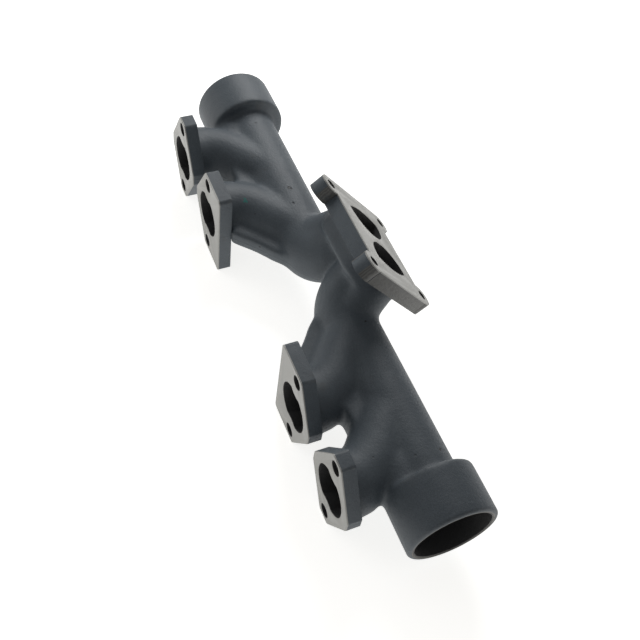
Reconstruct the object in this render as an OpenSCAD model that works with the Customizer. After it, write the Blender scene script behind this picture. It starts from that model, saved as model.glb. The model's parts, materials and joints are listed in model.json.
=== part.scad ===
/* [Cylinder head ports] */
// Distance from the middle to each inner port
port_inner_x = 97; // [88:1:110]
// Distance from the middle to each outer port
port_outer_x = 165; // [155:1:175]
// Thickness of the port flanges
port_flange_t = 11; // [9:0.5:14]
// Half width of the port flanges
port_half_w = 28.5; // [26:0.5:32]
// Half height of the port flanges
port_half_h = 41; // [38:0.5:44]
// Half width of the flat end above each bolt hole
port_end_half = 6.5; // [5:0.5:9]
// Corner radius of the port flanges
port_corner_r = 3; // [2:0.5:4]
// Radius of each port opening
port_open_r = 19; // [17:0.5:20]
// Metal kept round each bolt hole, measured from its centre
port_land_r = 16.3; // [15:0.1:17]
// Distance from the port centre to each bolt hole
port_bolt_z = 32.5; // [31:0.5:34]
// Radius of the bolt holes in the port flanges
port_bolt_r = 5.5; // [5:0.1:6]

/* [Runners] */
// Outside radius of the runners
runner_r = 22.5; // [21:0.5:22.9]
// Radius of the gas passage in the runners
runner_bore_r = 18; // [16:0.5:18.5]
// Bend radius of the runners
runner_bend_r = 38; // [32:1:45]
// How far each runner turns towards the middle, in degrees
runner_turn = 50; // [50:1:57]

/* [Log pipe and slip joints] */
// Distance from the port faces to the axis of the log pipe
log_y = 65.4; // [60:0.1:72]
// Outside radius of the log pipe
log_r = 23.1; // [23:0.1:26]
// Radius of the gas passage in the log pipe
log_bore_r = 18.6; // [18.6:0.1:19]
// Outside radius of the slip-joint sockets
socket_r = 33.5; // [31:0.5:36]
// Bore radius of the slip-joint sockets
socket_bore_r = 28.5; // [27:0.5:30]
// Distance from the middle to the shoulder of each socket
socket_start_x = 182.5; // [178:0.5:188]
// Distance from the middle to the mouth of each socket
socket_end_x = 222.5; // [215:0.5:230]
// Depth of the slip-joint bores
socket_depth = 34; // [25:1:36]
// Width of the chamfer at each mouth
mouth_chamfer = 1.5; // [0.5:0.5:2.5]

/* [Turbocharger flange] */
// Tilt of the flange above the horizontal, in degrees
turbo_tilt = 40.7; // [30:0.1:50]
// Distance from the log axis to the flange face
turbo_reach = 54.5; // [50:0.5:60]
// Sideways offset of the flange centre from the log axis
turbo_offset = 3.5; // [0:0.5:4]
// Thickness of the turbocharger flange
turbo_t = 13; // [11:0.5:15]
// Half length of the flange along the engine
turbo_half_x = 49; // [46:0.5:52]
// Half width of the flange between the corner lugs
turbo_half_v = 37; // [34:0.5:38]
// Distance from the flange centre lines to each tapped hole
turbo_hole = 39.5; // [38:0.5:41]
// Radius of the lug round each tapped hole
turbo_lug_r = 9.5; // [8:0.5:9.5]
// Radius of the tapped holes
turbo_hole_r = 4.25; // [4:0.05:5.25]
// Half thickness of the wall between the two gas passages
divider_half = 4; // [3:0.5:5]

/* [Hidden] */
$fn = 160;
// bend of each gas passage up to the flange
scroll_bend_r = 26;
scroll_r = 23.6;
scroll_x = 18.3;
// collar under the flange
collar_r = 28;
collar_x = 14;
collar_start = 27;
// the two arcs that bound each opening in the flange
lens_in_r = 21;
lens_in_x = 24.5;
lens_out_r = 44;
lens_out_x = -12;
// more than any size across the body
far = 100;
elbow_x = scroll_x + scroll_bend_r;
collar_end = turbo_reach - turbo_t;
// straight leg of a runner, from the end of its bend to the log axis
runner_run = (log_y - port_flange_t - runner_bend_r * sin(runner_turn)) / cos(runner_turn);
lead_in = 4;
// gusset that fills the inside of an inner bend
gusset_half = 12;
gusset_outline = [
  [72, 13], [62, 18], [54, 25], [45, 29.5], [37, 34.5], [30, 43], [26, 50], [45, 58], [80, 24]
];
// web in the crotch between an inner and an outer runner
web_half = 12;
web_front_y = 30;
// outlines of the port flanges: compact at the ends, square on the side nearest the middle
side_half = 5;
outer_outline = [
  [port_end_half, port_half_h], [-port_end_half, port_half_h],
  [-port_half_w, side_half], [-port_half_w, -side_half],
  [-port_end_half, -port_half_h], [port_end_half, -port_half_h],
  [port_half_w, -side_half], [port_half_w, side_half]
];
front_outline = [
  [port_end_half, port_half_h], [-port_half_w, port_half_h],
  [-port_half_w, -port_half_h], [port_end_half, -port_half_h],
  [port_half_w, -side_half], [port_half_w, side_half]
];
rear_outline = [
  [port_half_w, port_half_h], [-port_end_half, port_half_h],
  [-port_half_w, side_half], [-port_half_w, -side_half],
  [-port_end_half, -port_half_h], [port_half_w, -port_half_h]
];

// ---- helpers: corner rounding of a plate outline ----
function unit(v) = v / norm(v);
function toward(a, b) = unit(b - a);
function half_angle(p, a, b) = acos(toward(p, a) * toward(p, b)) / 2;
function tangent_len(p, a, b, r) = r / tan(half_angle(p, a, b));
function corner_centre(p, a, b, r) = p + unit(toward(p, a) + toward(p, b)) * r / sin(half_angle(p, a, b));
function prev_i(i, n) = (i + n - 1) % n;
function next_i(i, n) = (i + 1) % n;
function cut_points(pts, r) = [
  for (i = [0 : len(pts) - 1])
    let (p = pts[i], a = pts[prev_i(i, len(pts))], b = pts[next_i(i, len(pts))])
    for (q = [a, b]) p + toward(p, q) * tangent_len(p, a, b, r)
];

// plate of thickness t with every corner of the outline rounded
module rounded_plate(pts, r, t) {
  linear_extrude(height = t) polygon(cut_points(pts, r));
  for (i = [0 : len(pts) - 1]) {
    c = corner_centre(pts[i], pts[prev_i(i, len(pts))], pts[next_i(i, len(pts))], r);
    translate([c[0], c[1], 0]) cylinder(r = r, h = t);
  }
}

// stands a plate drawn flat on the port faces: its x along the engine, its y up
module on_port_face(x, t) {
  translate([x, t, 0]) rotate([90, 0, 0]) children();
}

// frame of the log pipe: x along it, y along the flange normal
module in_turbo_frame() {
  translate([0, log_y, 0]) rotate([turbo_tilt, 0, 0]) children();
}

// bar whose length runs along +y
module bar_y(r, h) {
  rotate([-90, 0, 0]) cylinder(r = r, h = h);
}

module rear() {
  mirror([1, 0, 0]) children();
}

// ---- solids shared by the nodes, drawn for the front half ----
// round bar swept round the bend of the runner at x, then straight on for run;
// lead starts it that many degrees early, inside the flange
module runner_path(x, bend, r, run, lead) {
  translate([x - runner_bend_r, port_flange_t, 0]) rotate([0, 0, runner_turn]) {
    rotate_extrude(angle = runner_turn + lead, start = -runner_turn - lead)
      translate([bend, 0]) circle(r = r);
    translate([bend, 0, 0]) bar_y(r, run);
  }
}

module runner_outside(x) {
  runner_path(x, runner_bend_r, runner_r, runner_run, 0);
}

module runner_passage(x) {
  runner_path(x, runner_bend_r, runner_bore_r, runner_run, lead_in);
}

// the same outside with a lead, for cutting its neighbours to fit
module runner_cutter(x) {
  runner_path(x, runner_bend_r, runner_r, runner_run, lead_in);
}

module gusset_block() {
  translate([0, 0, -gusset_half]) linear_extrude(height = 2 * gusset_half) polygon(gusset_outline);
}

module log_outside() {
  translate([elbow_x, log_y, 0]) rotate([0, 90, 0]) cylinder(r = log_r, h = socket_start_x - elbow_x);
}

module log_passage() {
  translate([elbow_x, log_y, 0]) rotate([0, 90, 0]) cylinder(r = log_bore_r, h = socket_end_x - elbow_x);
}

// quarter bend from the log pipe up to the flange
module scroll_bend(r) {
  translate([elbow_x, scroll_bend_r, 0]) rotate([0, 0, 180])
    rotate_extrude(angle = 90) translate([scroll_bend_r, 0]) circle(r = r);
}

module scroll_riser(r) {
  translate([scroll_x, scroll_bend_r, 0]) bar_y(r, collar_end - scroll_bend_r);
}

module collar() {
  translate([collar_x, collar_start, turbo_offset]) bar_y(collar_r, collar_end - collar_start);
  translate([0, collar_start, turbo_offset - collar_r])
    cube([collar_x, collar_end - collar_start, 2 * collar_r]);
}

module scroll_outside() {
  in_turbo_frame() {
    scroll_bend(scroll_r);
    scroll_riser(scroll_r);
    collar();
  }
}

module scroll_passage() {
  in_turbo_frame() {
    scroll_bend(log_bore_r);
    scroll_riser(log_bore_r);
  }
}

// everything behind the front face of the divider wall
module divider_side() {
  in_turbo_frame() translate([divider_half - far, -2 * scroll_r, -far])
    cube([far, collar_end + 4 * scroll_r, 2 * far]);
}

module divider_slab() {
  in_turbo_frame() translate([-divider_half, -scroll_r, turbo_offset - collar_r - 1])
    cube([2 * divider_half, collar_end + scroll_r, 2 * collar_r + 2]);
}

module web_block() {
  translate([0, 0, -web_half]) linear_extrude(height = 2 * web_half) polygon([
    [port_inner_x + 15, web_front_y],
    [port_outer_x - 34, web_front_y],
    [port_outer_x - 34, web_front_y + 15],
    [port_inner_x - 5, web_front_y + 30],
    [port_inner_x - 5, web_front_y + 15]
  ]);
}

module body_outside() {
  log_outside();
  scroll_outside();
}

// ---- nodes ----
module port_flange(x, pts) {
  color("dimgray") difference() {
    on_port_face(x, port_flange_t) rounded_plate(pts, port_corner_r, port_flange_t);
    on_port_face(x, port_flange_t + 1) port_opening(port_flange_t + 2);
    for (s = [-1, 1])
      translate([x, -1, s * port_bolt_z]) bar_y(port_bolt_r, port_flange_t + 2);
  }
}

// opening with a flat dent beside each bolt hole
module port_opening(h) {
  difference() {
    cylinder(r = port_open_r, h = h);
    for (s = [-1, 1])
      translate([0, s * port_bolt_z, -1]) cylinder(r = port_land_r, h = h + 2);
  }
}

module runner_inner() {
  color("slategray") difference() {
    runner_outside(port_inner_x);
    runner_passage(port_inner_x);
    body_outside();
  }
}

module runner_outer() {
  color("slategray") difference() {
    runner_outside(port_outer_x);
    runner_passage(port_outer_x);
    body_outside();
  }
}

module log_pipe() {
  color("gray") difference() {
    log_outside();
    log_passage();
    runner_passage(port_inner_x);
    runner_passage(port_outer_x);
  }
}

module slip_socket() {
  color("darkgray") difference() {
    translate([socket_start_x, log_y, 0]) rotate([0, 90, 0])
      cylinder(r = socket_r, h = socket_end_x - socket_start_x);
    log_passage();
    translate([socket_end_x - socket_depth, log_y, 0]) rotate([0, 90, 0])
      cylinder(r = socket_bore_r, h = socket_depth + 1);
    translate([socket_end_x - mouth_chamfer, log_y, 0]) rotate([0, 90, 0])
      cylinder(r1 = socket_bore_r, r2 = socket_bore_r + mouth_chamfer, h = mouth_chamfer);
  }
}

module scroll() {
  color("gray") difference() {
    scroll_outside();
    scroll_passage();
    divider_side();
    lens_opening(collar_start, collar_end + 1);
    runner_passage(port_inner_x);
  }
}

// gas opening of the front scroll, from one height above the log axis to another
module lens_opening(from, to) {
  in_turbo_frame() translate([0, from, turbo_offset]) intersection() {
    translate([lens_in_x, 0, 0]) bar_y(lens_in_r, to - from);
    translate([lens_out_x, 0, 0]) bar_y(lens_out_r, to - from);
    translate([divider_half, 0, -lens_in_r]) cube([2 * lens_in_r, to - from, 2 * lens_in_r]);
  }
}

module divider_wall() {
  color("silver") intersection() {
    divider_slab();
    union() {
      scroll_outside();
      rear() scroll_outside();
    }
  }
}

module turbo_flange() {
  color("lightgray") difference() {
    in_turbo_frame() translate([0, collar_end, turbo_offset]) {
      translate([-turbo_half_x, 0, -turbo_half_v]) cube([2 * turbo_half_x, turbo_t, 2 * turbo_half_v]);
      for (x = [-1, 1], v = [-1, 1])
        translate([x * turbo_hole, 0, v * turbo_hole]) bar_y(turbo_lug_r, turbo_t);
    }
    in_turbo_frame() translate([0, collar_end - 1, turbo_offset])
      for (x = [-1, 1], v = [-1, 1])
        translate([x * turbo_hole, 0, v * turbo_hole]) bar_y(turbo_hole_r, turbo_t + 2);
    lens_opening(collar_end - 1, turbo_reach + 1);
    rear() lens_opening(collar_end - 1, turbo_reach + 1);
  }
}

module gusset() {
  color("dimgray") difference() {
    gusset_block();
    runner_cutter(port_inner_x);
    body_outside();
  }
}

module web() {
  color("dimgray") difference() {
    web_block();
    runner_cutter(port_inner_x);
    runner_cutter(port_outer_x);
    body_outside();
  }
}

port_flange(-port_outer_x, outer_outline);  // port_flange_1
port_flange(-port_inner_x, rear_outline);  // port_flange_2
port_flange(port_inner_x, front_outline);  // port_flange_3
port_flange(port_outer_x, outer_outline);  // port_flange_4
rear() runner_outer();  // runner_1
rear() runner_inner();  // runner_2
runner_inner();  // runner_3
runner_outer();  // runner_4
rear() log_pipe();  // log_pipe_rear
log_pipe();  // log_pipe_front
rear() slip_socket();  // slip_socket_rear
slip_socket();  // slip_socket_front
rear() scroll();  // scroll_rear
scroll();  // scroll_front
divider_wall();
turbo_flange();
rear() gusset();  // gusset_2
gusset();  // gusset_3
rear() web();  // web_12
web();  // web_34
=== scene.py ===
# %% [markdown]
# # An exhaust manifold cast in grey iron
# The real part is poured in a sand mould in one go, then a mill cuts the flange faces and a boring
# bar opens the two end sockets. The scene follows the same order: a pattern gives the outside, cores
# give the gas passages, and the machined faces come last. The frame holds the measured solids, so every
# place below is either read from it or is one of the dimensions of the part.

# %% Load the frame
import bpy
import bmesh
import json
import math
from mathutils import Matrix, Vector

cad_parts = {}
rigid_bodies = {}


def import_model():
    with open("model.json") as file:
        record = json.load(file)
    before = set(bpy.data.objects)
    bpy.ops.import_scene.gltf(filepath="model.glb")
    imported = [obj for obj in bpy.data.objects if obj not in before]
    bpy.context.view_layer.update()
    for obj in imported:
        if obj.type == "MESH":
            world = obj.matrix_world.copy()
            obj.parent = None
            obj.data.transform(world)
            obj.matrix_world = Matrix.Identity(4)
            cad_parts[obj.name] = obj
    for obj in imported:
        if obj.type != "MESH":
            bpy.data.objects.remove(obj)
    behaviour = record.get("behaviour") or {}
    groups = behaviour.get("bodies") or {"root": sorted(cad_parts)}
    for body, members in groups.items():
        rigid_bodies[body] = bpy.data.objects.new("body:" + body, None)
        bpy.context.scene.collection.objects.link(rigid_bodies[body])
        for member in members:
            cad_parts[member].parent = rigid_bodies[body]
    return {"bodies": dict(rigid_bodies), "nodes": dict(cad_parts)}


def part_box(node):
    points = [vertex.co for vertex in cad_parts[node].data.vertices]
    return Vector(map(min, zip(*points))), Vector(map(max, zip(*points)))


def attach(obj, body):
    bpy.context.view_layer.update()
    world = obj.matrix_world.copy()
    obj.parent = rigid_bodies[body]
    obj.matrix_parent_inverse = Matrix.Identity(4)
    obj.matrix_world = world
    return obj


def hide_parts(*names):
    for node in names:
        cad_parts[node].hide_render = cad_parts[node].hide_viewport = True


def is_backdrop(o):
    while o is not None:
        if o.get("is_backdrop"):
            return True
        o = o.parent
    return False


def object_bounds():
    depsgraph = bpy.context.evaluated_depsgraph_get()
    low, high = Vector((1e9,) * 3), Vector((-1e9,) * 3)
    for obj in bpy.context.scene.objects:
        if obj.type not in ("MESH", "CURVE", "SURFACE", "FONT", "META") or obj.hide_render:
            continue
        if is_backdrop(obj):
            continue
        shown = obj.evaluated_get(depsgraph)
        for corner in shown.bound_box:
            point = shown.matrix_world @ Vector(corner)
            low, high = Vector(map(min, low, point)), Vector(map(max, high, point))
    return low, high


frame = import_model()
cad_low, cad_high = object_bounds()
BODY = list(frame["bodies"])[0]
MM = 0.001
print("frame of", len(frame["nodes"]), "nodes on body", BODY)

# %% [markdown]
# ## The measures of the casting
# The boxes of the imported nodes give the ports, the pipe and the sockets. The bends are known by their
# radius and angle, and the turbocharger flange leans back, so it has a small frame of its own: x along
# the engine, y straight out of the flange, z up its face.

# %% Measures
flange_low, flange_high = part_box("port_flange_4")
inner_low, inner_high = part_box("port_flange_3")
pipe_low, pipe_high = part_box("log_pipe_front")
socket_low, socket_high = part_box("slip_socket_front")
OUTER_X = (flange_low.x + flange_high.x) / 2
INNER_X = (inner_low.x + inner_high.x) / 2
FLANGE_T = flange_high.y
LOG_Y = (pipe_low.y + pipe_high.y) / 2
LOG_R = (pipe_high.y - pipe_low.y) / 2
SOCKET_X, MOUTH_X = socket_low.x, socket_high.x
SOCKET_R = (socket_high.y - socket_low.y) / 2
RUNNER_R, RUNNER_BORE = 22.5 * MM, 18.0 * MM
LOG_BORE, SOCKET_BORE = 18.6 * MM, 28.5 * MM
BEND_R, RUNNER_TURN = 38 * MM, math.radians(50)
TILT = math.radians(40.7)
FACE_N, BACK_N, OFFSET = 54.5 * MM, 41.5 * MM, 3.5 * MM
WALL_HALF = 4 * MM
print("ports at", round(INNER_X * 1000, 1), round(OUTER_X * 1000, 1), "pipe at y", round(LOG_Y * 1000, 1))

# %% [markdown]
# ## Small helpers, used as a modeller's hands
# Each one wraps the operators that a person would click: add, place, apply, join, cut. Everything is
# deselected first, because an operator works on whatever is selected.

# %% Helpers for placing and joining
def only(obj):
    if bpy.context.object and bpy.context.object.mode != "OBJECT":
        bpy.ops.object.mode_set(mode="OBJECT")
    bpy.ops.object.select_all(action="DESELECT")
    obj.select_set(True)
    bpy.context.view_layer.objects.active = obj


def settle(obj, name):
    only(obj)
    obj.name = name
    bpy.ops.object.transform_apply(location=True, rotation=True, scale=True)
    return obj


def join(pieces, name):
    only(pieces[0])
    for other in pieces[1:]:
        other.select_set(True)
    bpy.ops.object.join()
    pieces[0].name = name
    return pieces[0]


def twin(obj, name):
    only(obj)
    bpy.ops.object.duplicate()
    bpy.context.object.name = name
    return bpy.context.object


def discard(obj):
    only(obj)
    bpy.ops.object.delete()


def apply_modifier(obj, kind, **settings):
    only(obj)
    bpy.ops.object.modifier_add(type=kind)
    modifier = obj.modifiers[-1]
    for key, value in settings.items():
        setattr(modifier, key, value)
    bpy.ops.object.modifier_apply(modifier=modifier.name)
    return obj


def cut(obj, tool, operation="DIFFERENCE"):
    return apply_modifier(obj, "BOOLEAN", operation=operation, solver="MANIFOLD", object=tool)


def turn_out(obj):
    only(obj)
    bpy.ops.object.mode_set(mode="EDIT")
    bpy.ops.mesh.select_all(action="SELECT")
    bpy.ops.mesh.remove_doubles(threshold=1e-6)
    bpy.ops.mesh.normals_make_consistent(inside=False)
    bpy.ops.object.mode_set(mode="OBJECT")
    return obj


print("helpers ready")

# %% Helpers for bars, bends and blocks
def bar(name, start, end, radius, sides=72):
    start, end = Vector(start), Vector(end)
    axis = end - start
    bpy.ops.object.select_all(action="DESELECT")
    bpy.ops.mesh.primitive_cylinder_add(
        vertices=sides, radius=radius, depth=axis.length, location=(start + end) / 2,
        rotation=axis.to_track_quat("Z", "Y").to_euler())
    return settle(bpy.context.object, name)


def bend(name, centre, bend_r, radius, first, turn, steps=28):
    start = Vector(centre) + bend_r * Vector((math.cos(first), math.sin(first), 0))
    bpy.ops.object.select_all(action="DESELECT")
    bpy.ops.mesh.primitive_circle_add(
        vertices=72, radius=radius, fill_type="NGON", location=start,
        rotation=(math.radians(90), 0, first))
    ring = settle(bpy.context.object, name)
    bpy.ops.object.mode_set(mode="EDIT")
    bpy.ops.mesh.select_all(action="SELECT")
    bpy.ops.mesh.spin(steps=steps, angle=-turn, center=centre, axis=(0, 0, 1))
    bpy.ops.object.mode_set(mode="OBJECT")
    return turn_out(ring)


def block(name, low, high):
    low, high = Vector(low), Vector(high)
    bpy.ops.object.select_all(action="DESELECT")
    bpy.ops.mesh.primitive_cube_add(size=1, location=(low + high) / 2)
    bpy.context.object.scale = high - low
    return settle(bpy.context.object, name)


def plate(name, outline, low_z, high_z):
    bpy.ops.object.select_all(action="DESELECT")
    bpy.ops.mesh.primitive_circle_add(vertices=len(outline), radius=0.01, fill_type="NGON")
    sheet = settle(bpy.context.object, name)
    for vertex, (x, y) in zip(sheet.data.vertices, outline):
        vertex.co = (x, y, low_z)
    bpy.ops.object.mode_set(mode="EDIT")
    bpy.ops.mesh.select_all(action="SELECT")
    bpy.ops.mesh.extrude_region_move(TRANSFORM_OT_translate={"value": (0, 0, high_z - low_z)})
    bpy.ops.object.mode_set(mode="OBJECT")
    return turn_out(sheet)


def lean(obj):
    obj.rotation_euler = (TILT, 0, 0)
    obj.location = (0, LOG_Y, 0)
    return settle(obj, obj.name)


print("shape helpers ready")

# %% [markdown]
# ## The pattern: pipes first
# A pattern maker starts with round bars and bends. Each runner leaves its port straight, turns towards
# the middle on one radius and meets the long pipe. The two middle pipes turn up to the turbocharger
# flange. Only the front half is made, because the rear half is its mirror image.

# %% Runner and pipe bars
def runner(name, x, radius, lead):
    centre = Vector((x - BEND_R, FLANGE_T, 0))
    out = Vector((math.cos(RUNNER_TURN), math.sin(RUNNER_TURN), 0))
    along = Vector((-math.sin(RUNNER_TURN), math.cos(RUNNER_TURN), 0))
    end_of_bend = centre + BEND_R * out
    run = (LOG_Y - end_of_bend.y) / along.y
    return [
        bar(name + "_mouth", (x, FLANGE_T - lead, 0), (x, FLANGE_T + 0.3 * MM, 0), radius),
        bend(name + "_bend", centre, BEND_R, radius, 0, RUNNER_TURN),
        bar(name + "_leg", end_of_bend - along * 0.5 * MM, end_of_bend + along * run, radius),
    ]


def scroll(name, radius):
    turn_x, rise = (18.3 + 26) * MM, 26 * MM
    elbow = bend(name + "_elbow", (turn_x, rise, 0), rise, radius, math.radians(180), math.radians(90))
    riser = bar(name + "_riser", (18.3 * MM, rise - 0.5 * MM, 0), (18.3 * MM, BACK_N + 1 * MM, 0), radius)
    return [lean(elbow), lean(riser)]


SWELL = 0.35 * MM
pattern_parts = runner("inner_runner", INNER_X, RUNNER_R + SWELL, 6 * MM)
pattern_parts += runner("outer_runner", OUTER_X, RUNNER_R + SWELL, 6 * MM)
pattern_parts += scroll("scroll", 23.1 * MM + SWELL)
pattern_parts.append(bar("long_pipe", (43 * MM, LOG_Y, 0), (SOCKET_X + 6 * MM, LOG_Y, 0), LOG_R + SWELL))
print("bars in the front half:", len(pattern_parts))

# %% [markdown]
# ## Webs, gussets and the collar
# Iron also fills the crotches. A web joins the two front runners, a gusset fills the inside of the inner
# bend, each runner flares into a foot at its flange, and a collar spreads under the turbocharger flange.
# These are plates with an outline, because
# they will be melted into the pipes in the next step anyway.

# %% Webs and collar
WEB = [(112, 31), (131, 31), (131, 46), (92, 60), (92, 40)]
FOOT_R = 24.5 * MM
GUSSET = [(67, 9), (59, 17), (52, 24), (45.5, 29.5), (38, 35), (30.5, 42.5), (23.5, 52), (45, 60), (80, 24)]


def in_metres(points):
    return [(x * MM, y * MM) for x, y in points]


pattern_parts.append(plate("web", in_metres(WEB), -13 * MM, 13 * MM))
pattern_parts.append(bar("socket_cheek", (160 * MM, 47 * MM, 0), (190 * MM, 53 * MM, 0), 19.5 * MM))
for x in (INNER_X, OUTER_X):
    bpy.ops.object.select_all(action="DESELECT")
    bpy.ops.mesh.primitive_cone_add(vertices=72, radius1=FOOT_R, radius2=RUNNER_R, depth=15 * MM,
                                    location=(x, FLANGE_T + 7 * MM, 0), rotation=(math.radians(-90), 0, 0))
    pattern_parts.append(settle(bpy.context.object, "foot"))
pattern_parts.append(plate("gusset", in_metres(GUSSET), -7.5 * MM, 7.5 * MM))
collar = bar("collar", (14 * MM, 27 * MM, OFFSET), (14 * MM, BACK_N + 1 * MM, OFFSET), 28 * MM)
filler = block("collar_filler", (0, 27 * MM, OFFSET - 28 * MM), (14 * MM, BACK_N + 1 * MM, OFFSET + 28 * MM))
shoulder = bar("shoulder", (38 * MM, 12 * MM, OFFSET), (27.5 * MM, BACK_N + 1 * MM, OFFSET), 17.5 * MM)
pattern_parts += [lean(collar), lean(filler), lean(shoulder)]
pattern = join(pattern_parts, "pattern")
apply_modifier(pattern, "MIRROR", use_axis=(True, False, False), use_mirror_merge=False)
print("pattern faces:", len(pattern.data.polygons))

# %% [markdown]
# ## Melting the pattern together
# A sand casting has no sharp inside corners. A voxel remesh turns the overlapping bars into one closed
# skin, and smoothing lets every crotch flow into a fillet. The bars were made slightly fat, because
# smoothing takes about a third of a millimetre off a pipe.

# %% Remesh and soften
VOXEL = 1.6 * MM
apply_modifier(pattern, "REMESH", mode="VOXEL", voxel_size=VOXEL)
apply_modifier(pattern, "SMOOTH", factor=0.5, iterations=8)
print("soft pattern faces:", len(pattern.data.polygons))

# %% [markdown]
# ## Sockets and flange roots
# The sockets and the backs of the flanges have tighter fillets than the crotches. They join after the
# first smoothing, and a short second one gives them a smaller radius. The flange roots are cut away
# again: only the fillet that they leave on the pipe is wanted.

# %% Sockets and roots
roots = []
for side in (-1, 1):
    roots.append(bar("socket", (side * SOCKET_X, LOG_Y, 0), (side * (MOUTH_X + 6 * MM), LOG_Y, 0), SOCKET_R + 0.1 * MM, 120))
    for x in (INNER_X, OUTER_X):
        roots.append(bar("root", (side * x, -6 * MM, 0), (side * x, FLANGE_T - 0.3 * MM, 0), FOOT_R))
turbo_root = block("turbo_root", (-46 * MM, BACK_N + 0.3 * MM, OFFSET - 34 * MM),
                   (46 * MM, FACE_N + 6 * MM, OFFSET + 34 * MM))
roots.append(lean(turbo_root))
casting = join([pattern] + roots, "casting")
apply_modifier(casting, "REMESH", mode="VOXEL", voxel_size=1.4 * MM)
apply_modifier(casting, "SMOOTH", factor=0.5, iterations=20)
print("casting faces:", len(casting.data.polygons))

# %% [markdown]
# ## Cores for the gas passages
# The hollow of a casting is a sand core that is broken out later. Here the core is made like the
# pattern, from thinner bars, and the boolean takes it out. The two halves stay apart by the wall in the
# middle, which keeps the exhaust pulses of the front and rear cylinders separate.

# %% Cores
core_parts = runner("inner_core", INNER_X, RUNNER_BORE, 30 * MM)
core_parts += runner("outer_core", OUTER_X, RUNNER_BORE, 30 * MM)
core_parts += scroll("scroll_core", LOG_BORE)
core_parts.append(bar("long_core", (43 * MM, LOG_Y, 0), (MOUTH_X + 20 * MM, LOG_Y, 0), LOG_BORE))
core = join(core_parts, "core")
apply_modifier(core, "REMESH", mode="VOXEL", voxel_size=1.6 * MM)
apply_modifier(core, "SMOOTH", factor=0.5, iterations=6)
keep = block("front_side", (WALL_HALF, -80 * MM, -150 * MM), (400 * MM, 250 * MM, 150 * MM))
cut(core, keep, "INTERSECT")
discard(keep)
apply_modifier(core, "MIRROR", use_axis=(True, False, False), use_mirror_merge=False)
turn_out(core)


def mark_outside(obj, value):
    layer = obj.data.attributes.new("outside", "FLOAT", "FACE")
    layer.data.foreach_set("value", [value] * len(obj.data.polygons))


# Outer skin faces get 1 and core faces get 0; the materials paint the 0 faces near-black: painted shade inside the
# gas passages.
mark_outside(casting, 1.0)
mark_outside(core, 0.0)
cut(casting, core)
discard(core)
print("hollow casting faces:", len(casting.data.polygons))

# %% [markdown]
# ## Boring the casting and trimming it to its faces
# The sockets are bored after casting, and the skin ends where the flange plates begin. These are plain
# machine cuts, so the tools are crisp bars and blocks. The outer edge of each mouth is rounded, and a
# shallow seat is left for the turned ring.

# %% Bores and trims
RING, RING_R = 0.6 * MM, SOCKET_R - 2.9 * MM
turned = bar("turned", (-MOUTH_X, LOG_Y, 0), (MOUTH_X, LOG_Y, 0), SOCKET_R, 144)
apply_modifier(turned, "BEVEL", width=2.7 * MM, segments=6, limit_method="ANGLE", angle_limit=math.radians(45))
middle = block("middle", (-MOUTH_X + 9 * MM, -50 * MM, -90 * MM), (MOUTH_X - 9 * MM, 200 * MM, 90 * MM))
cut(turned, middle, "UNION")
mark_outside(turned, 1.0)
cut(casting, turned, "INTERSECT")
for tool in (turned, middle):
    discard(tool)
for side in (-1, 1):
    for start, radius in ((MOUTH_X - 34 * MM, SOCKET_BORE), (MOUTH_X - RING, RING_R)):
        bore = bar("bore", (side * start, LOG_Y, 0), (side * (MOUTH_X + 20 * MM), LOG_Y, 0), radius, 144)
        # The bore faces get 0 and are painted dark: painted shade in the socket, together with the darker colour of
        # the bored iron.
        mark_outside(bore, 0.0)
        cut(casting, bore)
        discard(bore)
ahead = block("ahead", (-300 * MM, -60 * MM, -90 * MM), (300 * MM, FLANGE_T - 0.1 * MM, 90 * MM))
mark_outside(ahead, 1.0)
cut(casting, ahead)
discard(ahead)
above = lean(block("above", (-90 * MM, BACK_N + 0.1 * MM, -90 * MM), (90 * MM, 120 * MM, 90 * MM)))
mark_outside(above, 1.0)
cut(casting, above)
discard(above)
print("trimmed casting faces:", len(casting.data.polygons))

# %% [markdown]
# ## Naming the regions of the casting
# The library wants each region as its own named solid, so the casting is sawn where the regions meet:
# at the pipe, between the runners, at the sockets and at the middle wall. Every region keeps the surface
# directions of the whole casting, so no saw line shows.

# %% Saw the casting
PIPE_FRONT_Y = 45 * MM
SPLIT_X = 121 * MM


def region(name, boxes, nodes):
    piece = twin(casting, name)
    for low, high in boxes:
        tool = block("saw", low, high)
        cut(piece, tool, "INTERSECT")
        discard(tool)
    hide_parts(*nodes)
    return piece


def between(x0, x1, y0, y1):
    return (Vector((min(x0, x1), y0, -200 * MM)), Vector((max(x0, x1), y1, 200 * MM)))


skin = []
for side, word, outer, inner in ((-1, "rear", "1", "2"), (1, "front", "4", "3")):
    s = side
    web = "web_12" if side < 0 else "web_34"
    skin.append(region("runner_skin_" + outer, [between(s * SPLIT_X, s * 240 * MM, 0, PIPE_FRONT_Y),
                       between(s * SPLIT_X, s * SOCKET_X, 0, PIPE_FRONT_Y)], ["runner_" + outer, web]))
    skin.append(region("runner_skin_" + inner, [between(s * WALL_HALF, s * SPLIT_X, 0, PIPE_FRONT_Y)],
                       ["runner_" + inner, "gusset_" + inner]))
    skin.append(region("log_skin_" + word, [between(s * 47 * MM, s * SOCKET_X, PIPE_FRONT_Y, 250 * MM)],
                       ["log_pipe_" + word]))
    skin.append(region("scroll_skin_" + word, [between(s * WALL_HALF, s * 47 * MM, PIPE_FRONT_Y, 250 * MM)],
                       ["scroll_" + word]))
    skin.append(region("socket_skin_" + word, [between(s * SOCKET_X, s * 240 * MM, 0, 250 * MM)],
                       ["slip_socket_" + word]))
skin.append(region("divider_skin", [between(-WALL_HALF, WALL_HALF, 0, 250 * MM)], ["divider_wall"]))
for piece in skin:
    print(piece.name, len(piece.data.polygons), "faces")

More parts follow.
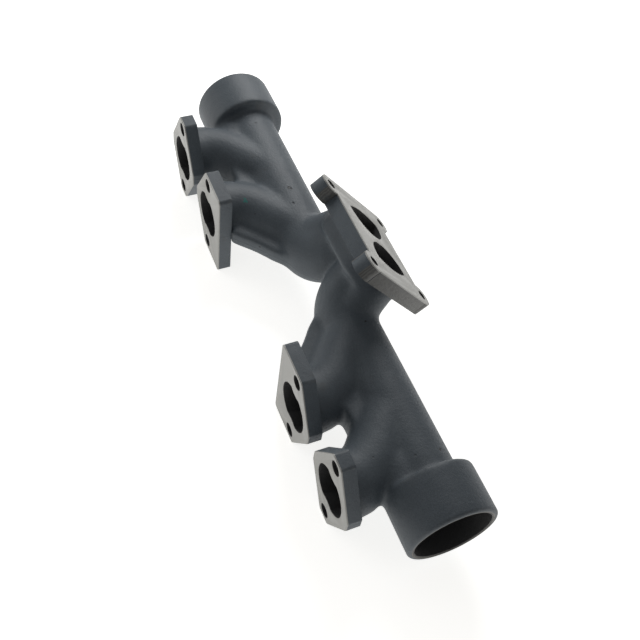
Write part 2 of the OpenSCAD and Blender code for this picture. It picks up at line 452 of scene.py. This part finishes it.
# %% Keep one flow of light over the regions
def follow(piece, whole):
    only(piece)
    bpy.ops.object.shade_smooth()
    apply_modifier(piece, "DATA_TRANSFER", object=whole, use_loop_data=True, data_types_loops={"CUSTOM_NORMAL"},
                   loop_mapping="NEAREST_POLYNOR")


only(casting)
bpy.ops.object.shade_smooth_by_angle(angle=math.radians(50))
for piece in skin:
    follow(piece, casting)
discard(casting)
print("regions carry the casting's normals")

# %% [markdown]
# ## Flanges
# A flange is a flat plate with crisp, barely broken edges. The measured node already has the right
# outline and holes, so a copy of it is merged, cleaned to flat faces and given a small bevel, then split
# into the cast plate and the milled skin of its face.

# %% Flange plates and milled faces
def flange(node, plate_name, face_name, face_block):
    copy = twin(frame["nodes"][node], plate_name)
    for key in list(copy.keys()):
        del copy[key]
    copy.parent = None
    turn_out(copy)
    only(copy)
    bpy.ops.object.mode_set(mode="EDIT")
    bpy.ops.mesh.select_all(action="SELECT")
    bpy.ops.mesh.dissolve_limited(angle_limit=math.radians(1.5))
    bpy.ops.object.mode_set(mode="OBJECT")
    apply_modifier(copy, "BEVEL", width=0.4 * MM, segments=2, limit_method="ANGLE", angle_limit=math.radians(45))
    face = twin(copy, face_name)
    cut(face, face_block, "INTERSECT")
    cut(copy, face_block)
    discard(face_block)
    for piece in (copy, face):
        only(piece)
        bpy.ops.object.shade_smooth_by_angle(angle=math.radians(28))
        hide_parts(node)
    return copy, face


plates, faces = [], []
for number in "1234":
    low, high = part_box("port_flange_" + number)
    layer = block("layer", (low.x - 9 * MM, -9 * MM, -60 * MM), (high.x + 9 * MM, 0.9 * MM, 60 * MM))
    made = flange("port_flange_" + number, "port_plate_" + number, "port_face_" + number, layer)
    plates.append(made[0])
    faces.append(made[1])
layer = lean(block("layer", (-90 * MM, FACE_N - 0.9 * MM, -90 * MM), (90 * MM, FACE_N + 9 * MM, 90 * MM)))
made = flange("turbo_flange", "turbo_plate", "turbo_face", layer)
plates.append(made[0])
faces.append(made[1])
print("plates:", len(plates), "milled faces:", len(faces))

# %% [markdown]
# ## Turned mouth rings
# The mouth of each socket is turned bright: a flat ring with a small chamfer towards the bore. A ring is
# a short bar opened by a thinner bar and a cone, with its edges broken by a bevel.

# %% Mouth rings
for side, word in ((-1, "rear"), (1, "front")):
    ring = bar("mouth_ring_" + word, (side * (MOUTH_X - RING), LOG_Y, 0), (side * MOUTH_X, LOG_Y, 0), RING_R, 144)
    apply_modifier(ring, "BEVEL", width=0.2 * MM, segments=2, limit_method="ANGLE", angle_limit=math.radians(45))
    inside = bar("inside", (side * (MOUTH_X - 9 * MM), LOG_Y, 0), (side * (MOUTH_X + 9 * MM), LOG_Y, 0),
                 SOCKET_BORE + 0.05 * MM, 144)
    cut(ring, inside)
    discard(inside)
    bpy.ops.object.select_all(action="DESELECT")
    bpy.ops.mesh.primitive_cone_add(vertices=144, radius1=SOCKET_BORE - 0.4 * MM,
                                    radius2=SOCKET_BORE + 1.5 * MM, depth=1.9 * MM,
                                    location=(side * (MOUTH_X - 0.9 * MM), LOG_Y, 0), rotation=(0, side * math.radians(90), 0))
    cone = settle(bpy.context.object, "cone")
    cut(ring, cone)
    discard(cone)
    only(ring)
    bpy.ops.object.shade_smooth_by_angle(angle=math.radians(28))
    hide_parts("slip_socket_" + word)
    faces.append(ring)
print("machined pieces:", len(faces))

# %% [markdown]
# ## Where edges are worn
# Handling rubs the dark casting skin off the outer edges first. The masks live in the mesh as an
# attribute: narrow bevel faces on the plates, and outward curvature on the soft skin.

# %% Edge masks
def mark_bevels(obj):
    mesh = bmesh.new()
    mesh.from_mesh(obj.data)
    values = []
    for face in mesh.faces:
        around = sum(edge.calc_length() for edge in face.edges)
        convex = [e for e in face.edges if e.is_manifold and e.calc_face_angle_signed(0) > 0.15]
        values.append(1.0 if len(convex) > 1 and 2 * face.calc_area() / around < 0.6 * MM else 0.0)
    mesh.free()
    obj.data.attributes.new("edge", "FLOAT", "FACE").data.foreach_set("value", values)


def mark_curves(obj):
    mesh = bmesh.new()
    mesh.from_mesh(obj.data)
    values = []
    for vertex in mesh.verts:
        angles = [e.calc_face_angle_signed(0) for e in vertex.link_edges if e.is_manifold]
        mean = sum(angles) / max(1, len(angles))
        sawn = max(angles, default=0) > 0.8
        values.append(0.0 if sawn else min(1.0, max(0.0, (mean - 0.07) / 0.2)))
    mesh.free()
    obj.data.attributes.new("edge", "FLOAT", "POINT").data.foreach_set("value", values)


def mark_walls(obj, out, reach):
    """Walls of the openings, which lie inside the outline, get 0 and are painted dark like the gas passages: painted
    shade.
    """
    values = []
    for face in obj.data.polygons:
        wall = abs(face.normal.dot(out)) < 0.5
        inside = any((face.center - centre).cross(out).length < r for centre, r in reach)
        values.append(0.0 if wall and inside else 1.0)
    obj.data.attributes.new("outside", "FLOAT", "FACE").data.foreach_set("value", values)


def port_reach(node):
    low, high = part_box(node)
    x = INNER_X if abs(low.x + high.x) / 2 < (INNER_X + OUTER_X) / 2 else OUTER_X
    x = math.copysign(x, low.x)
    return [(Vector((x, 0, 0)), 19.6 * MM)] + [(Vector((x, 0, s * 32.5 * MM)), 5.8 * MM) for s in (-1, 1)]


TURBO_OUT = Vector((0, math.cos(TILT), math.sin(TILT)))
TURBO_UP = Vector((0, -math.sin(TILT), math.cos(TILT)))
turbo_middle = Vector((0, LOG_Y, 0)) + TURBO_OUT * FACE_N + TURBO_UP * OFFSET
turbo_reach = [(turbo_middle + Vector((s * 18 * MM, 0, 0)), 23 * MM) for s in (-1, 1)]
TURBO_HOLE, HOLE_REACH = 39.5, 4.6 * MM
turbo_reach += [(turbo_middle + Vector((s * TURBO_HOLE * MM, 0, 0)) + TURBO_UP * t * TURBO_HOLE * MM, HOLE_REACH)
                for s in (-1, 1) for t in (-1, 1)]
for piece in skin:
    mark_curves(piece)
for piece in plates + faces:
    mark_bevels(piece)
for number, pair in zip("1234", zip(plates, faces)):
    for piece in pair:
        mark_walls(piece, Vector((0, 1, 0)), port_reach("port_flange_" + number))
for piece in (plates[4], faces[4]):
    mark_walls(piece, TURBO_OUT, turbo_reach)
for piece in faces[5:]:
    mark_outside(piece, 1.0)
side_faces = [1.0 if abs(face.normal.x) > 0.6 else 0.0 for face in plates[4].data.polygons]
plates[4].data.attributes.new("milled", "FLOAT", "FACE").data.foreach_set("value", side_faces)
print("edge masks on", len(skin + plates + faces), "pieces")

# %% [markdown]
# ## Shared effects as node groups
# The casting needs grain, wear and stains, and the milled finishes need wear too, so each effect is a group with
# named inputs. A group only gives out masks and heights, and the shader stays in the material.

# %% A helper for groups
def group(name, inputs, outputs):
    tree = bpy.data.node_groups.new(name, "ShaderNodeTree")
    for label, kind, value in inputs:
        socket = tree.interface.new_socket(label, in_out="INPUT", socket_type=kind)
        if value is not None:
            socket.default_value = value
    for label in outputs:
        tree.interface.new_socket(label, in_out="OUTPUT", socket_type="NodeSocketFloat")
    return tree, tree.nodes.new("NodeGroupInput"), tree.nodes.new("NodeGroupOutput")


def noise(tree, vector, scale, detail=3.0, rough=0.55):
    node = tree.nodes.new("ShaderNodeTexNoise")
    node.inputs["Scale"].default_value = scale
    node.inputs["Detail"].default_value = detail
    node.inputs["Roughness"].default_value = rough
    tree.links.new(vector, node.inputs["Vector"])
    return node.outputs["Fac"]


def math_node(tree, operation, first, second):
    node = tree.nodes.new("ShaderNodeMath")
    node.operation = operation
    for socket, value in zip(node.inputs, (first, second)):
        if isinstance(value, (int, float)):
            socket.default_value = value
        else:
            tree.links.new(value, socket)
    return node.outputs[0]


def ramp(tree, value, low, high, start=0.0, end=1.0):
    node = tree.nodes.new("ShaderNodeMapRange")
    node.interpolation_type = "SMOOTHSTEP"
    for label, number in zip(("From Min", "From Max", "To Min", "To Max"), (low, high, start, end)):
        node.inputs[label].default_value = number
    tree.links.new(value, node.inputs["Value"])
    return node.outputs["Result"]


print("group helpers ready")

# %% Sand grain
grain, g_in, g_out = group("sand_grain", [("Vector", "NodeSocketVector", None), ("Lumps", "NodeSocketFloat", 0.5)],
                           ["Height", "Speck", "Pit"])
fine = noise(grain, g_in.outputs["Vector"], 1500, 3)
sand = noise(grain, g_in.outputs["Vector"], 520, 2)
lump = noise(grain, g_in.outputs["Vector"], 85, 2)
pits = grain.nodes.new("ShaderNodeTexVoronoi")
pits.inputs["Scale"].default_value = 95
grain.links.new(g_in.outputs["Vector"], pits.inputs["Vector"])
pit_size = noise(grain, g_in.outputs["Vector"], 40, 1)
pit = math_node(grain, "MULTIPLY", ramp(grain, pits.outputs["Distance"], 0.04, 0.12, 1.0, 0.0),
                ramp(grain, pit_size, 0.58, 0.66))
height = math_node(grain, "ADD", math_node(grain, "MULTIPLY", fine, 0.35), math_node(grain, "MULTIPLY", sand, 0.45))
height = math_node(grain, "ADD", height, math_node(grain, "MULTIPLY", lump, g_in.outputs["Lumps"]))
height = math_node(grain, "SUBTRACT", height, math_node(grain, "MULTIPLY", pit, 0.9))
grain.links.new(height, g_out.inputs["Height"])
grain.links.new(ramp(grain, fine, 0.42, 0.62), g_out.inputs["Speck"])
grain.links.new(pit, g_out.inputs["Pit"])
print("group", grain.name)

# %% Edge wear
wear, w_in, w_out = group("edge_wear", [("Vector", "NodeSocketVector", None), ("Amount", "NodeSocketFloat", 0.6)], ["Mask"])
edge = wear.nodes.new("ShaderNodeAttribute")
edge.attribute_name = "edge"
patchy = ramp(wear, noise(wear, w_in.outputs["Vector"], 210, 4), 0.36, 0.66)
rubbed = math_node(wear, "MULTIPLY", math_node(wear, "MULTIPLY", edge.outputs["Fac"], patchy), w_in.outputs["Amount"])
wear.links.new(rubbed, w_out.inputs["Mask"])
print("group", wear.name)

# %% A dab, for a paint mark or a blow hole at one place
dab, d_in, d_out = group("dab", [("Vector", "NodeSocketVector", None), ("Place", "NodeSocketVector", None),
                                 ("Radius", "NodeSocketFloat", 0.002)], ["Mask"])
away = dab.nodes.new("ShaderNodeVectorMath")
away.operation = "DISTANCE"
dab.links.new(d_in.outputs["Vector"], away.inputs[0])
dab.links.new(d_in.outputs["Place"], away.inputs[1])
ragged = math_node(dab, "MULTIPLY", ramp(dab, noise(dab, d_in.outputs["Vector"], 420, 3), 0.3, 0.7, 0.45, 1.5),
                   d_in.outputs["Radius"])
edge_of = math_node(dab, "SUBTRACT", ragged, away.outputs["Value"])
dab.links.new(ramp(dab, edge_of, -0.0002, 0.0004), d_out.inputs["Mask"])
print("group", dab.name)

# %% [markdown]
# ## Cast iron
# Grey iron from a sand mould is a matte blue-grey with a fine, even grain, lighter where it is rubbed.
# The passages, bores and the walls of openings and holes are painted near-black: painted shade, in the bores
# together with the darker bored iron. Colour varies softly over some centimetres. A faint ridge runs
# round the part at mid height, where the two halves of the mould met.

# %% Cast iron skin
def fresh(name):
    material = bpy.data.materials.new(name)
    material.use_nodes = True
    tree = material.node_tree
    place = tree.nodes.new("ShaderNodeTexCoord").outputs["Object"]
    return material, tree, tree.nodes["Principled BSDF"], place


def use(tree, shared, **values):
    node = tree.nodes.new("ShaderNodeGroup")
    node.node_tree = shared
    for label, value in values.items():
        if isinstance(value, (int, float, tuple)):
            node.inputs[label].default_value = value
        else:
            tree.links.new(value, node.inputs[label])
    return node


def mix(tree, factor, first, second):
    node = tree.nodes.new("ShaderNodeMix")
    node.data_type = "RGBA"
    colours = [s for s in node.inputs if s.type == "RGBA"]
    for socket, value in zip([node.inputs[0]] + colours, (factor, first, second)):
        if isinstance(value, (int, float)):
            socket.default_value = value
        elif isinstance(value, tuple):
            socket.default_value = (*value, 1)
        else:
            tree.links.new(value, socket)
    return [s for s in node.outputs if s.type == "RGBA"][0]


def bump(tree, height, strength, distance):
    node = tree.nodes.new("ShaderNodeBump")
    node.inputs["Strength"].default_value = strength
    node.inputs["Distance"].default_value = distance
    tree.links.new(height, node.inputs["Height"])
    return node.outputs["Normal"]


iron, tree, shader, place = fresh("sand_cast_iron")
grains = use(tree, grain, Vector=place, Lumps=0.8)
worn = use(tree, wear, Vector=place, Amount=0.22)
cloud = ramp(tree, noise(tree, place, 22, 3), 0.3, 0.7)
colour = mix(tree, cloud, (0.052, 0.066, 0.080), (0.070, 0.087, 0.102))
stain = ramp(tree, noise(tree, place, 34, 4, 0.65), 0.60, 0.74, 0.0, 0.35)
colour = mix(tree, stain, colour, (0.055, 0.052, 0.047))
speck = math_node(tree, "MULTIPLY", grains.outputs["Speck"], 0.42)
colour = mix(tree, speck, colour, (0.105, 0.126, 0.142))
colour = mix(tree, grains.outputs["Pit"], colour, (0.02, 0.022, 0.024))
colour = mix(tree, worn.outputs["Mask"], colour, (0.20, 0.20, 0.19))
parts = tree.nodes.new("ShaderNodeSeparateXYZ")
tree.links.new(place, parts.inputs[0])
side_cut = tree.nodes.new("ShaderNodeAttribute")
side_cut.attribute_name = "milled"
side_cut = math_node(tree, "MULTIPLY", side_cut.outputs["Fac"], ramp(tree, noise(tree, place, 130, 3), 0.28, 0.46, 0.6, 1.0))
strokes = tree.nodes.new("ShaderNodeTexWave")
strokes.bands_direction = "X"
strokes.inputs["Scale"].default_value = 260
strokes.inputs["Distortion"].default_value = 3.0
tree.links.new(place, strokes.inputs["Vector"])
bright = mix(tree, strokes.outputs["Fac"], (0.065, 0.065, 0.062), (0.112, 0.112, 0.105))
colour = mix(tree, side_cut, colour, bright)
# Faces marked 0 (passages, bores, walls of openings and holes) take a near-black colour: painted shade, in the bores
# together with the darker bored iron.
outside = tree.nodes.new("ShaderNodeAttribute")
outside.attribute_name = "outside"
colour = mix(tree, outside.outputs["Fac"], (0.032, 0.032, 0.033), colour)
paint = use(tree, dab, Vector=place, Place=(-0.0836, 0.0271, 0.0208), Radius=0.0021)
colour = mix(tree, paint.outputs["Mask"], colour, (0.02, 0.16, 0.14))
holes = 0.0
BLOW_HOLES = (((-0.0848, 0.0664, 0.0231), 0.0016), ((-0.0685, 0.0627, 0.0229), 0.0012),
              ((0.1706, 0.0766, 0.0202), 0.0012))
for spot, radius in BLOW_HOLES:
    hole = use(tree, dab, Vector=place, Place=spot, Radius=radius)
    colour = mix(tree, hole.outputs["Mask"], colour, (0.02, 0.022, 0.024))
    holes = math_node(tree, "ADD", hole.outputs["Mask"], holes)
seam = ramp(tree, math_node(tree, "ABSOLUTE", parts.outputs["Z"], 0.0), 0.0002, 0.0009, 1.0, 0.0)
seam = math_node(tree, "MULTIPLY", seam, ramp(tree, noise(tree, place, 60, 2), 0.35, 0.6, 0.25, 1.0))
height = math_node(tree, "ADD", grains.outputs["Height"], math_node(tree, "MULTIPLY", seam, 0.5))
height = math_node(tree, "SUBTRACT", height, math_node(tree, "MULTIPLY", holes, 2.0))
tree.links.new(colour, shader.inputs["Base Color"])
tree.links.new(ramp(tree, grains.outputs["Speck"], 0.0, 1.0, 0.52, 0.64), shader.inputs["Roughness"])
tree.links.new(bump(tree, height, 0.7, 0.0006), shader.inputs["Normal"])
shader.inputs["Metallic"].default_value = 0.0
shader.inputs["Specular IOR Level"].default_value = 0.6
print("material", iron.name)

# %% [markdown]
# ## Milled iron
# A face mill leaves the iron bright and slightly warm, with fine arcs one feed apart, a few dark graphite
# specks and thin scratches. The turned mouth rings are cut the same way, but they have dulled.

# %% Milled faces
def cut_finish(name, dark, light, stroke):
    material, tree, shader, place = fresh(name)
    marks = tree.nodes.new("ShaderNodeTexWave")
    marks.wave_type, marks.bands_direction = "BANDS", "X"
    for label, value in (("Scale", 330), ("Distortion", 1.2), ("Detail", 2), ("Detail Scale", 0.6)):
        marks.inputs[label].default_value = value
    bow = tree.nodes.new("ShaderNodeMapping")
    bow.inputs["Rotation"].default_value = (0.0, math.radians(62), 0.0)
    tree.links.new(place, bow.inputs["Vector"])
    tree.links.new(bow.outputs["Vector"], marks.inputs["Vector"])
    cloud = ramp(tree, noise(tree, place, 55, 3), 0.3, 0.7)
    colour = mix(tree, cloud, dark, light)
    colour = mix(tree, math_node(tree, "MULTIPLY", marks.outputs["Fac"], 0.14), colour, stroke)
    graphite = ramp(tree, noise(tree, place, 900, 3, 0.6), 0.60, 0.72, 0.0, 0.5)
    colour = mix(tree, graphite, colour, tuple(0.5 * v for v in dark))
    worn = use(tree, wear, Vector=place, Amount=0.2)
    colour = mix(tree, worn.outputs["Mask"], colour, stroke)
    # Faces marked 0, the walls of the openings in the milled faces, take a dark grey: painted shade.
    outside = tree.nodes.new("ShaderNodeAttribute")
    outside.attribute_name = "outside"
    colour = mix(tree, outside.outputs["Fac"], (0.066, 0.066, 0.066), colour)
    tree.links.new(colour, shader.inputs["Base Color"])
    tree.links.new(ramp(tree, cloud, 0.0, 1.0, 0.42, 0.56), shader.inputs["Roughness"])
    tree.links.new(bump(tree, marks.outputs["Fac"], 0.25, 0.00006), shader.inputs["Normal"])
    shader.inputs["Metallic"].default_value = 0.35
    print("material", name)
    return material


milled = cut_finish("milled_iron", (0.29, 0.29, 0.275), (0.355, 0.353, 0.335), (0.42, 0.42, 0.40))
dull_iron = cut_finish("dull_iron", (0.085, 0.082, 0.074), (0.13, 0.125, 0.112), (0.20, 0.195, 0.18))

# %% Paint the pieces
for pieces, material in ((skin + plates, iron), (faces[:5], milled), (faces[5:], dull_iron)):
    for piece in pieces:
        piece.data.materials.clear()
        piece.data.materials.append(material)
print("finished", len(skin + plates + faces), "pieces")

# %% Ride on the frame
for piece in skin + plates:
    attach(piece, BODY)
for piece in faces:
    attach(piece, BODY)

# %% [markdown]
# ## Stage
# A pale floor, a broad soft light above and a pale room around give an even product light. The camera
# looks down on the casting from the port side, rolled so that it stands diagonally in the view.

# %% Floor, light and camera
bpy.ops.object.select_all(action="DESELECT")
bpy.ops.mesh.primitive_plane_add(size=12, location=(0, 0, cad_low.z - 0.2 * MM))
floor = bpy.context.object
floor.name = "floor"
paper = bpy.data.materials.new("pale_paper")
paper.use_nodes = True
paper.node_tree.nodes["Principled BSDF"].inputs["Base Color"].default_value = (0.93, 0.93, 0.93, 1)
paper.node_tree.nodes["Principled BSDF"].inputs["Roughness"].default_value = 0.9
paper.node_tree.nodes["Principled BSDF"].inputs["Emission Color"].default_value = (1, 0.99, 0.965, 1)
paper.node_tree.nodes["Principled BSDF"].inputs["Emission Strength"].default_value = 0.78
floor.data.materials.append(paper)
floor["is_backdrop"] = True

room = bpy.data.worlds.new("studio")
bpy.context.scene.world = room
room.use_nodes = True
room.node_tree.nodes["Background"].inputs["Color"].default_value = (1, 1, 1, 1)
room.node_tree.nodes["Background"].inputs["Strength"].default_value = 0.22


def soft_light(name, place, target, size, power):
    bpy.ops.object.light_add(type="AREA", location=place)
    lamp = bpy.context.object
    lamp.name = name
    lamp.data.shape = "DISK"
    lamp.data.size = size
    lamp.data.energy = power
    lamp.rotation_euler = (Vector(target) - Vector(place)).to_track_quat("-Z", "Y").to_euler()


soft_light("key_light", (-0.62, 0.38, 0.52), (-0.05, 0.06, 0), 0.5, 4.0)
soft_light("front_light", (-0.85, -0.75, 0.4), (0, 0.0, 0), 0.7, 1.7)

bpy.ops.object.camera_add()
camera = bpy.context.object
camera.name = "product_camera"
look = Vector((-0.51425, 0.30312, -0.80229)).normalized()
right = Vector((0.37794, 0.91983, 0.10528))
right = (right - right.dot(look) * look).normalized()
facing = Matrix((right, right.cross(look), -look)).transposed().to_4x4()
camera.matrix_world = Matrix.Translation(Vector((378.4, -156.5, 540.7)) * MM) @ facing
camera.data.sensor_width = 36
camera.data.lens = 49.565
camera.data.clip_start, camera.data.clip_end = 0.01, 50
bpy.context.scene.camera = camera
bpy.context.scene.view_settings.view_transform = "Standard"

# %% Sizes and the end
low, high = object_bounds()
print("cad box", [round(v * 1000, 1) for v in (*cad_low, *cad_high)])
print("visual box", [round(v * 1000, 1) for v in (*low, *high)])
